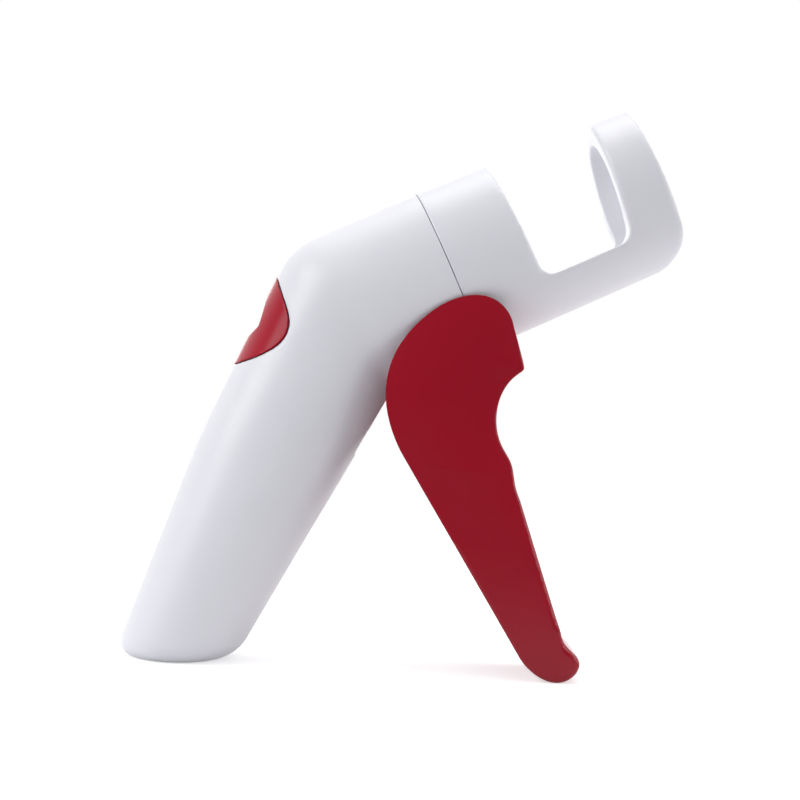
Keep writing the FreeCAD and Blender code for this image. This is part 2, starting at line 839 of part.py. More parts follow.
def lever_cavity():
    """The open channel behind the finger wall."""
    move = polar(finger_wall_angle) * web_wall
    finger = [point + move for point in finger_points]
    tail_top = tail_points[-1] + move
    tail_end = side(channel_end_x, channel_end_z)
    lead_x = finger[-1].x - channel_lead
    edges = [
        smooth(finger),
        Part.LineSegment(finger[-1], side(lead_x, 20)).toShape(),
        Part.LineSegment(side(lead_x, 20), side(-60, 20)).toShape(),
        Part.LineSegment(side(-60, 20), side(-60, channel_end_z)).toShape(),
        Part.LineSegment(side(-60, channel_end_z), tail_end).toShape(),
        Part.LineSegment(tail_end, tail_top).toShape(),
        Part.LineSegment(tail_top, finger[0]).toShape(),
    ]
    return prism_of_edges(edges, -far, far)


def arm_outline():
    """One drive arm seen from the side, from the finger wall past the pivot to the drive pin."""
    lean = -half_swing
    up = polar(barrel_tilt + 90 - math.degrees(lean))
    across = polar(barrel_tilt - math.degrees(lean))
    pin = pivot + up * arm_length
    cap = [pin + across * (arm_half_depth * math.cos(a)) + up * (arm_half_depth * math.sin(a))
           for a in [math.radians(step) for step in range(0, 181, 15)]]
    root = [pivot + polar(angle) * arm_hub_radius for angle in range(200, 281, 20)]
    return cap + root + [side(x, z) for x, z in arm_root_places] + [pivot + across * arm_hub_front + up]


def make_lever():
    outer = prism_of_edges(lever_outline(), -ear_outer, ear_outer)
    outer = outer.common(lever_front(ear_outer, lever_tip_half_width))
    channel = lever_cavity().common(lever_front(ear_inner, lever_tip_half_width - (ear_outer - ear_inner)))
    lever = outer.cut(channel)
    lever = lever.cut([body_form(-lever_body_gap), tilted(head_form(-lever_body_gap, -1.0, head_length))])
    arms = both_sides(prism(arm_outline(), -arm_outer, -arm_inner))
    hook = prism([at_hook(hook_root, -hook_half_depth), at_hook(hook_reach, -hook_half_depth),
                  at_hook(hook_reach, hook_half_depth), at_hook(hook_root, hook_half_depth)],
                 -hook_half_width, hook_half_width)
    notch_low = -hook_half_depth - 1
    notch = [at_hook(notch_start, notch_low), at_hook(notch_end, notch_low),
             at_hook(notch_end, notch_top), at_hook(notch_start, notch_top)]
    lip_slope = [at_hook(lip_slope_start, -hook_half_depth), at_hook(hook_reach, lip_slope_end),
                 at_hook(hook_reach + 1, lip_slope_end), at_hook(hook_reach + 1, -hook_half_depth - 1),
                 at_hook(lip_slope_start, -hook_half_depth - 1)]
    hook = hook.cut([prism(notch, -far, far), prism(lip_slope, -far, far)])
    inside = prism_of_edges(lever_outline(), -ear_outer, ear_outer)
    lever = lever.multiFuse([opened(hook).common(inside)] + arms)
    pin_hole = rod_along_y(pivot, pivot_pin_diameter / 2, -ear_outer + pin_end_depth, far)
    head_hole_radius = pivot_pin_diameter / 2 + pin_head_extra + pin_head_gap
    head_hole = rod_along_y(pivot, head_hole_radius, ear_outer - pin_head_seat, far)
    drive = on_barrel(pin_rest, pin_low)
    drive_hole = rod_along_y(drive, drive_pin_diameter / 2, -arm_outer - 1, arm_outer + 1)
    return lever.cut([pin_hole, head_hole, drive_hole])


def make_pivot_pin():
    seat = ear_outer - pin_head_seat
    shank = rod_along_y(pivot, pivot_pin_diameter / 2, -ear_outer + pin_end_depth + pin_end_gap, seat)
    top = rod_along_y(pivot, pivot_pin_diameter / 2 + pin_head_extra, seat, seat + pin_head_height)
    return shank.fuse(top).removeSplitter()


def make_drive_pin():
    reach = arm_outer - pin_end_gap
    return rod_along_y(on_barrel(pin_rest, pin_low), drive_pin_diameter / 2, -reach, reach)


def make_pivot_bushes():
    outer = pivot_pin_diameter / 2 + pivot_bush_wall
    bush = rod_along_y(pivot, outer, -lug_outer, -lug_inner)
    bush = bush.fuse(rod_along_y(pivot, outer + pivot_bush_wall, -lug_inner, -lug_inner + pivot_bush_rim))
    bush = bush.cut(rod_along_y(pivot, pivot_pin_diameter / 2 + pin_running_gap, -far, 0))
    return Part.makeCompound(both_sides(bush))


os.makedirs("parts", exist_ok=True)
form = body_form(0.0)
inner_form = body_form(wall)
near_shell, far_shell = make_shells()
pieces = {
    "near_body_shell": near_shell,
    "far_body_shell": far_shell,
    "shell_screws": make_screws(),
    "pitting_head": tilted(make_head()),
    "pit_gate": tilted(make_gate()),
    "gate_ring": tilted(make_gate_ring()),
    "guide_bush": tilted(make_bush()),
    "carriage_rail": tilted(make_rail()),
    "pivot_bushes": make_pivot_bushes(),
    "thumb_rest": make_thumb_rest(),
    "lock_slide": make_lock_slide(),
    "lock_bar": make_lock_bar(),
    "lever": make_lever(),
    "pivot_pin": make_pivot_pin(),
    "drive_pin": make_drive_pin(),
    "plunger_carriage": tilted(make_carriage()),
    "plunger_rod": tilted(make_rod()),
    "plunger_tip": tilted(make_tip()),
    "rod_clip": tilted(make_clip()),
    "spring_washer": tilted(make_washer()),
    "return_spring": tilted(make_spring()),
}

# The part's origin: the middle of its footprint, on the surface that it stands on
vertices = []
for shape in (pieces["near_body_shell"], pieces["pitting_head"], pieces["lever"]):
    vertices += shape.tessellate(0.01)[0]
low_x = min(point.x for point in vertices)
high_x = max(point.x for point in vertices)
origin = V((low_x + high_x) / 2, 0, foot_z)
for name, shape in pieces.items():
    shape.translate(origin * -1)
    shape.exportStep("parts/" + name + ".step")
    print(name, "solids", len(shape.Solids), "valid", shape.isValid(), "volume", round(shape.Volume, 1))
print("origin", origin, "pivot", pivot - origin, "plunger axis", barrel_dir, "travel", travel)
print("lock axis", upper_dir, "ratio", travel / math.radians(swing))
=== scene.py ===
# %% [markdown]
# A hand-held fruit pitter: a white moulded barrel on a leaning handle, with a red squeeze lever.
# The construction model is loaded as a fixed frame, in metres, standing on z = 0 with +X towards the
# fruit pocket. The big visible mouldings are modelled again here with softer edges than the
# construction model has, and the small parts keep their construction shape and get real finishes.

# %% Load the construction frame
import json
import math

import bmesh
import bpy
import numpy as np
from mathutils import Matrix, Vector, kdtree


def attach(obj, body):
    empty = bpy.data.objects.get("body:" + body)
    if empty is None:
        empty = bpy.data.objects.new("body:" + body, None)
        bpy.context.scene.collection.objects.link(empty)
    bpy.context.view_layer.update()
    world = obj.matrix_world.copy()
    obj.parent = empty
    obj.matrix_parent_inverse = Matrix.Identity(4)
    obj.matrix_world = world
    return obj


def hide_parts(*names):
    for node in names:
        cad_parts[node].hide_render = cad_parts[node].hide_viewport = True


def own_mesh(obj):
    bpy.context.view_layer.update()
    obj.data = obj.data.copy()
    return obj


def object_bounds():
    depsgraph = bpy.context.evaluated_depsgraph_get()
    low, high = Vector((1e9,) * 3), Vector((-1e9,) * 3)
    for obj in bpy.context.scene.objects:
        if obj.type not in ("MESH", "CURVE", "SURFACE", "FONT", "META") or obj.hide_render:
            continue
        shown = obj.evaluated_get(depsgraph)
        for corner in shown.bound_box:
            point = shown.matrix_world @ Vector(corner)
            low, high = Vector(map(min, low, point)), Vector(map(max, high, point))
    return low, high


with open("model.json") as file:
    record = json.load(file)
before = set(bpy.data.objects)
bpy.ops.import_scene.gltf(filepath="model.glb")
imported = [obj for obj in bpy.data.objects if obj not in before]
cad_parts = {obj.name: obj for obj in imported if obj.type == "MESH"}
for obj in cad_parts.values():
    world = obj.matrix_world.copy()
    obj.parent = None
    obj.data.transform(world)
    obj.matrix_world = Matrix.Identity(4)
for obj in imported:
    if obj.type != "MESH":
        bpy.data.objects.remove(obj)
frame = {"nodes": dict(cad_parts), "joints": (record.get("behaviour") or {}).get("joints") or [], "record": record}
cad_low, cad_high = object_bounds()
MM = 0.001
print("construction box in mm:", [round(v / MM, 1) for v in (cad_high - cad_low)])

# %% [markdown]
# The camera comes first, because everything else is judged through it. The picture was taken level,
# from the near side, with the tool about 37 cm away and the camera rolled by three degrees. One
# millimetre at the tool's middle plane covers 4.4 pixels of the 800 pixel frame, and that fixes the lens.

# %% Camera
PHOTO_WIDTH = 800
PIXELS_PER_MM = 4.4
CAMERA_DISTANCE = 373.0
CAMERA_X = -0.15
CAMERA_HEIGHT = 60.5
CAMERA_ROLL = 3.0
SENSOR = 36.0
CLIP_START = 10.0

view_width = PHOTO_WIDTH / PIXELS_PER_MM
camera_data = bpy.data.cameras.new("camera")
camera_data.sensor_width = SENSOR
camera_data.lens = SENSOR * CAMERA_DISTANCE / view_width
camera_data.clip_start = CLIP_START * MM
camera = bpy.data.objects.new("camera", camera_data)
camera.location = Vector((CAMERA_X, -CAMERA_DISTANCE, CAMERA_HEIGHT)) * MM
camera.rotation_euler = (math.radians(90), math.radians(-CAMERA_ROLL), 0)
bpy.context.scene.collection.objects.link(camera)
bpy.context.scene.camera = camera
bpy.context.scene.view_settings.view_transform = "Standard"
print("lens:", round(camera_data.lens, 1), "mm")

# %% [markdown]
# Every finish is a small tree of nodes. One helper adds a node with its settings and links, and one
# function turns the written hex colour into the linear colour that the renderer counts in.

# %% Helpers for finishes
WHITE = (1, 1, 1, 1)


def linear(hex_colour):
    """A written sRGB colour as linear light with an alpha of 1."""
    levels = [int(hex_colour[i:i + 2], 16) / 255 for i in (1, 3, 5)]
    return tuple(v / 12.92 if v <= 0.04045 else ((v + 0.055) / 1.055) ** 2.4 for v in levels) + (1.0,)


def add_node(tree, kind, links=None, inputs=None, **settings):
    """Adds one node, sets its options and socket values, and links sockets that other nodes feed."""
    node = tree.nodes.new(kind)
    for name, value in settings.items():
        setattr(node, name, value)
    for name, value in (inputs or {}).items():
        node.inputs[name].default_value = value
    for name, socket in (links or {}).items():
        tree.links.new(socket, node.inputs[name])
    return node


def new_material(name):
    """An empty node material, its tree and its output node."""
    material = bpy.data.materials.new(name)
    material.use_nodes = True
    material.node_tree.nodes.clear()
    output = material.node_tree.nodes.new("ShaderNodeOutputMaterial")
    return material, material.node_tree, output


print("middle grey as linear light:", round(linear("#808080")[0], 3))

# %% [markdown]
# The studio is a white sweep: a floor that keeps the soft contact shadow, and an even pale surround.
# Camera rays see the floor fade to pure white away from the tool, as in a catalogue picture, while the
# light that reaches the tool stays at a plain level. Reflections see the floor dim in front of the tool,
# where a real studio has its dark room, and that keeps the gloss of the lever deep.

# %% Studio floor
FLOOR_SIZE = 6.0
FLOOR_NEAR = 0.16
FLOOR_FAR = 0.75
FLOOR_LIFT = 0.55
FRONT_START = 0.03
FRONT_END = -0.09
FRONT_GLOW = 0.12


def seen_directly(tree, path):
    """A socket that is one for rays from the camera, off a gloss or through a clear thing."""
    direct = path.outputs["Is Camera Ray"]
    for kind in ("Is Glossy Ray", "Is Transmission Ray"):
        larger = add_node(tree, "ShaderNodeMath", {0: direct, 1: path.outputs[kind]}, operation="MAXIMUM")
        direct = larger.outputs[0]
    return direct


bpy.ops.mesh.primitive_plane_add(size=FLOOR_SIZE, location=(0, 0, 0))
floor = bpy.context.object
floor.name = "studio_floor"
floor_material, tree, output = new_material("studio_floor_white")
path = add_node(tree, "ShaderNodeLightPath")
direct = seen_directly(tree, path)
place = add_node(tree, "ShaderNodeTexCoord").outputs["Object"]
reach = add_node(tree, "ShaderNodeVectorMath", {"Vector": place}, operation="LENGTH")
fade = add_node(tree, "ShaderNodeMapRange", {"Value": reach.outputs["Value"]},
                {"From Min": FLOOR_NEAR, "From Max": FLOOR_FAR}, interpolation_type="SMOOTHSTEP")
lift = add_node(tree, "ShaderNodeMath", {0: direct}, {1: FLOOR_LIFT}, operation="MULTIPLY")
diffuse = add_node(tree, "ShaderNodeBsdfDiffuse", inputs={"Color": linear("#E9E9EB")})
glow = add_node(tree, "ShaderNodeEmission", {"Strength": lift.outputs[0]}, {"Color": WHITE})
near = add_node(tree, "ShaderNodeAddShader", {0: diffuse.outputs[0], 1: glow.outputs[0]})
white = add_node(tree, "ShaderNodeEmission", {"Strength": direct}, {"Color": WHITE})
both = add_node(tree, "ShaderNodeMixShader", {0: fade.outputs[0], 1: near.outputs[0], 2: white.outputs[0]})
depth = add_node(tree, "ShaderNodeSeparateXYZ", {0: place})
front = add_node(tree, "ShaderNodeMapRange", {"Value": depth.outputs["Y"]},
                 {"From Min": FRONT_END, "From Max": FRONT_START, "To Min": 1.0, "To Max": 0.0},
                 interpolation_type="SMOOTHSTEP")
dim_part = add_node(tree, "ShaderNodeMath", {0: front.outputs[0], 1: path.outputs["Is Glossy Ray"]},
                    operation="MULTIPLY")
dim = add_node(tree, "ShaderNodeEmission", inputs={"Color": WHITE, "Strength": FRONT_GLOW})
both = add_node(tree, "ShaderNodeMixShader", {0: dim_part.outputs[0], 1: both.outputs[0], 2: dim.outputs[0]})
tree.links.new(both.outputs[0], output.inputs["Surface"])
floor.data.materials.append(floor_material)
print("floor:", FLOOR_SIZE, "m wide with", len(tree.nodes), "nodes")

# %% [markdown]
# The surround is the world's background. It lights the tool evenly from every side, the camera sees it
# as pure white, and a reflection sees it white behind the tool and dim in front of it.

# %% Surround
SURROUND_LEVEL = 0.5
DIM_TOWARDS = -0.5
WHITE_TOWARDS = 0.4

world = bpy.data.worlds.new("studio_surround")
bpy.context.scene.world = world
world.use_nodes = True
tree = world.node_tree
tree.nodes.clear()
path = add_node(tree, "ShaderNodeLightPath")
direct = seen_directly(tree, path)
plain = add_node(tree, "ShaderNodeBackground",
                 inputs={"Color": linear("#F2F3F6"), "Strength": SURROUND_LEVEL})
towards = add_node(tree, "ShaderNodeTexCoord").outputs["Generated"]
towards = add_node(tree, "ShaderNodeSeparateXYZ", {0: towards}).outputs["Y"]
behind = add_node(tree, "ShaderNodeMapRange", {0: towards},
                  {"From Min": DIM_TOWARDS, "From Max": WHITE_TOWARDS, "To Min": FRONT_GLOW, "To Max": 1.0})
shown = add_node(tree, "ShaderNodeMath", {0: path.outputs["Is Camera Ray"], 1: behind.outputs[0]},
                 operation="MAXIMUM")
white = add_node(tree, "ShaderNodeBackground", {"Strength": shown.outputs[0]}, {"Color": WHITE})
seen = add_node(tree, "ShaderNodeMixShader", {0: direct, 1: plain.outputs[0], 2: white.outputs[0]})
add_node(tree, "ShaderNodeOutputWorld", {"Surface": seen.outputs[0]})
print("surround:", world.name, "with", len(tree.nodes), "nodes")

# %% [markdown]
# Four large softboxes shape the tool: the strongest from the left in front, a weaker one from the right,
# one from above for the top of the barrel, and a faint one from behind that lifts the far edges. Their
# size is what makes the highlights on satin plastic wide and soft.

# %% Studio lamps
LAMP_AIM = Vector((0, 0, 60))
SOFTBOXES = (
    ("left_softbox", (-620, -260, 420), (420, 520), 2.65),
    ("right_softbox", (650, -200, 260), (420, 520), 1.6),
    ("top_softbox", (0, 120, 760), (600, 500), 2.4),
    ("back_softbox", (0, 700, 260), (700, 400), 1.2))

for name, place_mm, size_mm, watts in SOFTBOXES:
    lamp_data = bpy.data.lights.new(name, "AREA")
    lamp_data.shape = "RECTANGLE"
    lamp_data.size, lamp_data.size_y = [v * MM for v in size_mm]
    lamp_data.energy = watts
    lamp = bpy.data.objects.new(name, lamp_data)
    lamp.location = Vector(place_mm) * MM
    lamp.rotation_euler = (LAMP_AIM - Vector(place_mm)).to_track_quat("-Z", "Y").to_euler()
    bpy.context.scene.collection.objects.link(lamp)
print("softboxes:", len(SOFTBOXES))

# %% [markdown]
# The mouldings are drawn in the same layout as the construction model: the side plane is X-Z, and
# the plunger axis runs up through the barrel at 26.3 degrees. The one fixed place is the lever's hinge,
# which the frame gives, so the seam between barrel and head is found from it.

# %% Shared layout
BARREL_TILT = 26.3
PIVOT_BACK = 8.0
PIVOT_DROP = 23.0
BARREL_HALF_HEIGHT = 19.4
BARREL_HALF_WIDTH = 18.0
WALL = 2.2


def polar(degrees):
    """A direction of the side plane, by its angle above +X."""
    return Vector((math.cos(math.radians(degrees)), 0, math.sin(math.radians(degrees))))


AXIS = polar(BARREL_TILT)
UP = polar(BARREL_TILT + 90)
hinge = next(joint for joint in frame["joints"] if joint["type"] == "hinge")
pivot = Vector(hinge["pos_m"]) / MM
seam_centre = pivot + AXIS * PIVOT_BACK + UP * PIVOT_DROP


def on_barrel(s, h):
    """The place that lies s along the plunger axis from the seam and h above it, in mm."""
    return seam_centre + AXIS * s + UP * h


def side(x, z):
    """A place of the side plane, measured in mm from the middle of the seam."""
    return seam_centre + Vector((x, 0, z))


print("seam centre at", [round(v, 2) for v in seam_centre])

# %% [markdown]
# Three moves draw every solid: a closed flat outline is pulled out into a plate, a row of rings is
# bridged into a tube, and a cylinder stands for a round bar. Each is one short function around the tools
# of edit mode, and a last step merges doubled points and turns the faces outwards.

# %% Drawing helpers
RING_SIDES = 128
PIN_SIDES = 64
JOIN_WITHIN = 0.001


def activate(piece=None):
    """Leaves edit mode and selects one piece or nothing."""
    if bpy.context.mode != "OBJECT":
        bpy.ops.object.mode_set(mode="OBJECT")
    bpy.ops.object.select_all(action="DESELECT")
    if piece is not None:
        piece.select_set(True)
        bpy.context.view_layer.objects.active = piece


def merge_points(piece, within, face_outwards=False):
    """Merges the points of a piece that lie within a distance in mm, and can turn its faces outwards."""
    activate(piece)
    bpy.ops.object.mode_set(mode="EDIT")
    bpy.ops.mesh.select_all(action="SELECT")
    bpy.ops.mesh.remove_doubles(threshold=within * MM)
    if face_outwards:
        bpy.ops.mesh.normals_make_consistent(inside=False)
    bpy.ops.object.mode_set(mode="OBJECT")
    return piece


def plate(name, outline, y_low, y_high):
    """A flat plate: a circle primitive pulled to the outline, then extruded across the tool."""
    activate()
    bpy.ops.mesh.primitive_circle_add(vertices=len(outline), radius=MM, fill_type="NGON")
    piece = bpy.context.object
    piece.name = name
    for vertex, point in zip(piece.data.vertices, outline):
        vertex.co = Vector((point.x, y_low, point.z)) * MM
    bpy.ops.object.mode_set(mode="EDIT")
    bpy.ops.mesh.select_all(action="SELECT")
    bpy.ops.mesh.extrude_region_move(TRANSFORM_OT_translate={"value": (0, (y_high - y_low) * MM, 0)})
    return merge_points(piece, JOIN_WITHIN, face_outwards=True)


def tube(name, rings):
    """One circle for each ring, stretched, turned and moved to its place, then bridged and closed."""
    activate()
    for number, (centre, angle, half_depth, half_width) in enumerate(rings):
        bpy.ops.mesh.primitive_circle_add(vertices=RING_SIDES, radius=MM)
        if number == 0:
            piece = bpy.context.object
            piece.name = name
            bpy.ops.object.mode_set(mode="EDIT")
            bpy.ops.mesh.select_all(action="SELECT")
        bpy.ops.transform.resize(value=(half_depth, half_width, 1), center_override=(0, 0, 0))
        bpy.ops.transform.rotate(value=math.radians(angle), orient_axis="Y", center_override=(0, 0, 0))
        bpy.ops.transform.translate(value=centre * MM)
    bpy.ops.mesh.select_all(action="SELECT")
    bpy.ops.mesh.bridge_edge_loops()
    bpy.ops.mesh.select_all(action="SELECT")
    bpy.ops.mesh.fill_holes(sides=0)
    return merge_points(piece, JOIN_WITHIN, face_outwards=True)


def pin(name, centre, radius, length, direction=(0, 1, 0)):
    """A round bar between two faces, centred at a place, along a direction."""
    activate()
    turn = Vector(direction).to_track_quat("Z", "Y").to_euler()
    bpy.ops.mesh.primitive_cylinder_add(
        vertices=PIN_SIDES, radius=radius * MM, depth=length * MM, location=centre * MM, rotation=turn)
    piece = bpy.context.object
    piece.name = name
    bpy.ops.object.transform_apply(location=True, rotation=True, scale=True)
    return piece


print("sides of a ring:", RING_SIDES, "and of a pin:", PIN_SIDES)

# %% [markdown]
# Solids are then joined and cut with the boolean modifier, in its solver for closed meshes, which keeps
# them closed. A plane cut is the same thing with a very large cylinder as the blade.

# %% Cutting helpers
BLADE = 150.0


def apply_modifier(piece, kind, **settings):
    """Adds one modifier with its settings and applies it."""
    modifier = piece.modifiers.new(kind.lower(), kind)
    for name, value in settings.items():
        setattr(modifier, name, value)
    activate(piece)
    bpy.ops.object.modifier_apply(modifier=modifier.name)
    return piece


def combine(piece, others, operation="DIFFERENCE"):
    """Cuts with, adds or keeps the shared part of other solids, which are used up."""
    for other in others:
        apply_modifier(piece, "BOOLEAN", operation=operation, solver="MANIFOLD", object=other)
        bpy.data.objects.remove(other)
    return piece


def slice_off(piece, place, normal):
    """Cuts a piece with a plane and removes what lies on the side of the normal."""
    blade = pin("blade", place + Vector(normal) * BLADE, 2 * BLADE, 2 * BLADE, normal)
    return combine(piece, [blade])


def twin_of(piece, name="twin"):
    """A second piece with its own mesh."""
    twin = bpy.data.objects.new(name, piece.data.copy())
    bpy.context.scene.collection.objects.link(twin)
    return twin


print("blade for plane cuts:", 2 * BLADE, "mm in radius")

# %% [markdown]
# A moulded edge is never sharp. A voxel remesh turns a piece into an even net of small squares, and
# relaxing that net rounds the edges. A bevel would need clean edge loops, which a cut solid hasn't got.
# The relaxing can be weighted by the distance to chosen creases, so that one edge is rounded widely and
# the next one hardly at all.

# %% Softening helpers
CREASE_ANGLE = 35.0
CREASE_SPACING = 0.5
SOFT_LEVELS = 10


def places(piece):
    """The points of a mesh in mm, as an array."""
    found = np.empty(len(piece.data.vertices) * 3)
    piece.data.vertices.foreach_get("co", found)
    return found.reshape(-1, 3) / MM


def move_points(piece, points):
    """Puts the points of a mesh at new places in mm."""
    piece.data.vertices.foreach_set("co", (points * MM).ravel())
    piece.data.update()


def remesh(piece, voxel):
    """An even net of small squares over the piece."""
    return apply_modifier(piece, "REMESH", mode="VOXEL", voxel_size=voxel * MM)


def soften(piece, passes, weights=None):
    """Relaxes the points of a fine mesh, all over or by a weight for each point."""
    settings = {"factor": 0.5, "iterations": passes}
    if weights is not None:
        group = piece.vertex_groups.new(name="soft")
        for level in range(1, SOFT_LEVELS + 1):
            chosen = np.nonzero(np.round(weights * SOFT_LEVELS) == level)[0]
            group.add(chosen.tolist(), level / SOFT_LEVELS, "REPLACE")
        settings["vertex_group"] = group.name
    apply_modifier(piece, "SMOOTH", **settings)
    piece.vertex_groups.clear()
    return piece


def sharp_points(piece):
    """Places in mm along every edge of a piece where two faces meet at an angle."""
    mesh = bmesh.new()
    mesh.from_mesh(piece.data)
    found = []
    for edge in mesh.edges:
        if edge.is_manifold and edge.calc_face_angle(0) > math.radians(CREASE_ANGLE):
            a, b = [vertex.co / MM for vertex in edge.verts]
            steps = max(1, int((b - a).length / CREASE_SPACING))
            found += [a.lerp(b, step / steps) for step in range(steps + 1)]
    mesh.free()
    return np.array([tuple(point) for point in found])


def distance_to(points, targets):
    """The distance in mm from each point to the nearest target."""
    tree = kdtree.KDTree(len(targets))
    for number, target in enumerate(targets):
        tree.insert(target, number)
    tree.balance()
    return np.array([tree.find(point)[2] for point in points])


def near_weights(piece, targets, reach):
    """One within a third of the reach from the targets, falling to nothing at the reach."""
    return np.clip(1.5 - 1.5 * distance_to(places(piece), targets) / reach, 0, 1)


def smooth_shade(piece):
    """Shades a piece smoothly and keeps the creases that are still sharp."""
    activate(piece)
    bpy.ops.object.shade_smooth_by_angle(angle=math.radians(CREASE_ANGLE))
    return piece


print("a crease is an edge of more than", CREASE_ANGLE, "degrees")

# %% [markdown]
# A modelled piece takes the place of a construction node: it rides on the same body and hides the node. Some
# pieces are drawn from nothing, and some start as a merged copy of their node's mesh.

# %% Helpers for the frame
NODE_JOIN_WITHIN = 0.0005


def copy_of_node(name, node):
    """A merged copy of a construction node's mesh, as the start of a worked piece."""
    piece = twin_of(frame["nodes"][node], name)
    piece.data.materials.clear()
    piece.data.normals_split_custom_set([(0, 0, 0)] * len(piece.data.loops))
    return merge_points(piece, NODE_JOIN_WITHIN)


def stands_for(piece, body, slot, *nodes):
    """Puts a modelled piece in the place of construction nodes."""
    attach(piece, body)
    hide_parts(*nodes)
    print(piece.name, "faces:", len(piece.data.polygons))
    return piece


print("construction nodes:", len(frame["nodes"]))

# %% [markdown]
# The handle and the rear of the barrel are one bent oval tube, moulded in two halves. Two lines of the
# side view shape it: the back with its rounded elbow, and the front with its tight inner corner.

# %% Lines of the handle
HANDLE_BACK_ANGLE = 71.4
HANDLE_FRONT_ANGLE = 62.4
UPPER_BACK_ANGLE = 66.85
ELBOW_RADIUS = 13.5
CORNER_RADIUS = 2.0
KNEE_RADIUS = 60.0
ARC_STEPS = 24
LONG = 200.0

back_dir = polar(HANDLE_BACK_ANGLE)
front_dir = polar(HANDLE_FRONT_ANGLE)
upper_dir = polar(UPPER_BACK_ANGLE)
back_point = side(-52.9, -36.3)
front_point = side(-14.5, -34.3)
upper_point = side(-47.3, -23.3)


def crossing(p, p_dir, q, q_dir):
    """Where two lines of the side plane meet."""
    det = q_dir.x * p_dir.z - p_dir.x * q_dir.z
    return p + p_dir * ((q_dir.x * (q.z - p.z) - q_dir.z * (q.x - p.x)) / det)


def rounded(before, corner, after, radius, steps=ARC_STEPS):
    """The corner between two straight runs, replaced by points of an arc."""
    a = (before - corner).normalized()
    b = (after - corner).normalized()
    half = a.angle(b) / 2
    centre = corner + (a + b).normalized() * (radius / math.sin(half))
    start = corner + a * (radius / math.tan(half)) - centre
    end = corner + b * (radius / math.tan(half)) - centre
    turn = start.angle(end)
    points = []
    for step in range(steps + 1):
        share = step / steps
        mixed = start * math.sin((1 - share) * turn) + end * math.sin(share * turn)
        points.append(centre + mixed / math.sin(turn))
    return points


top_point = on_barrel(0, BARREL_HALF_HEIGHT)
under_point = on_barrel(0, -BARREL_HALF_HEIGHT)
back_knee = crossing(back_point, back_dir, upper_point, upper_dir)
elbow = crossing(upper_point, upper_dir, top_point, AXIS)
inner_corner = crossing(front_point, front_dir, under_point, AXIS)
back_line = [back_knee - back_dir * LONG]
back_line += rounded(back_knee - back_dir * LONG, back_knee, elbow, KNEE_RADIUS, ARC_STEPS // 4)
back_line += rounded(back_knee, elbow, elbow + AXIS * LONG, ELBOW_RADIUS)
back_line.append(elbow + AXIS * LONG)
front_line = [inner_corner - front_dir * LONG]
front_line += rounded(front_point, inner_corner, inner_corner + AXIS * LONG, CORNER_RADIUS, ARC_STEPS // 2)
front_line.append(inner_corner + AXIS * LONG)
print("elbow at", [round(v, 1) for v in elbow], "inner corner at", [round(v, 1) for v in inner_corner])

# %% [markdown]
# The tube is a row of ovals, each as deep as the gap between the two lines. On the foot they lie level
# and shrink towards the sole, up the handle they turn square to it, and around the inner corner a fan of
# them carries the oval from the handle's direction into the barrel's. A curve with a bevel could bend a
# tube as well, but it can't follow two lines that aren't parallel.

# %% The bent tube
FOOT_DROP = 90.0
FOOT_RADIUS = 4.6
FOOT_HALF_WIDTH = 15.0
HANDLE_TOP_HALF_WIDTH = 17.0
FOOT_STEPS = 9
HANDLE_RINGS = 22
FAN_TURNS = 28
FAN_DEPTH = 6.0
LEVEL = 180.0
TURN_RATE = 3.0
BARREL_RINGS = (-4.0, 0.0)
OUTER_END = 6.0
TOUCH = 1e-9

handle_angle = (HANDLE_BACK_ANGLE + HANDLE_FRONT_ANGLE) / 2


def hit(line, place, direction):
    """The nearest place where the line through a place crosses a row of points."""
    best = None
    for a, b in zip(line, line[1:]):
        det = direction.x * (b.z - a.z) - direction.z * (b.x - a.x)
        along = ((a.x - place.x) * direction.z - (a.z - place.z) * direction.x) / det if det else -1.0
        if -TOUCH <= along <= 1 + TOUCH:
            point = a + (b - a) * along
            if best is None or (point - place).length < (best - place).length:
                best = point
    return best


def ring(place, angle, half_width, inset):
    """The oval of the tube where a line at this angle crosses it, moved in by inset."""
    front = hit(front_line, place, polar(angle))
    back = hit(back_line, place, polar(angle))
    return (front + back) / 2, angle, (back - front).length / 2 - inset, half_width - inset


def body_rings(inset, end):
    """The rings of the tube from the foot to a place past the seam, moved in by inset."""
    fan_centre = inner_corner - polar((handle_angle + BARREL_TILT) / 2 + 90) * FAN_DEPTH
    foot_z = side(0, -FOOT_DROP).z + inset
    foot_place = front_point + front_dir * ((foot_z - front_point.z) / front_dir.z)
    rings = []
    for step in range(FOOT_STEPS, -1, -1):
        bend = math.radians(90 * step / FOOT_STEPS)
        lift = FOOT_RADIUS * (1 - math.sin(bend))
        place = foot_place + front_dir * (lift / front_dir.z)
        rings.append(ring(place, LEVEL, FOOT_HALF_WIDTH, inset + FOOT_RADIUS * (1 - math.cos(bend))))
    start_place = foot_place + front_dir * (FOOT_RADIUS / front_dir.z)
    for step in range(1, HANDLE_RINGS + 1):
        share = step / HANDLE_RINGS
        width = FOOT_HALF_WIDTH + (HANDLE_TOP_HALF_WIDTH - FOOT_HALF_WIDTH) * share
        angle = LEVEL + (handle_angle + 90 - LEVEL) * min(1.0, share * TURN_RATE)
        rings.append(ring(start_place.lerp(fan_centre, share), angle, width, inset))
    for step in range(1, FAN_TURNS + 1):
        share = step / FAN_TURNS
        width = HANDLE_TOP_HALF_WIDTH + (BARREL_HALF_WIDTH - HANDLE_TOP_HALF_WIDTH) * share
        angle = handle_angle + 90 + (BARREL_TILT - handle_angle) * share
        rings.append(ring(fan_centre, angle, width, inset))
    for s in BARREL_RINGS + (end,):
        rings.append(ring(on_barrel(s, 0), BARREL_TILT + 90, BARREL_HALF_WIDTH, inset))
    return rings


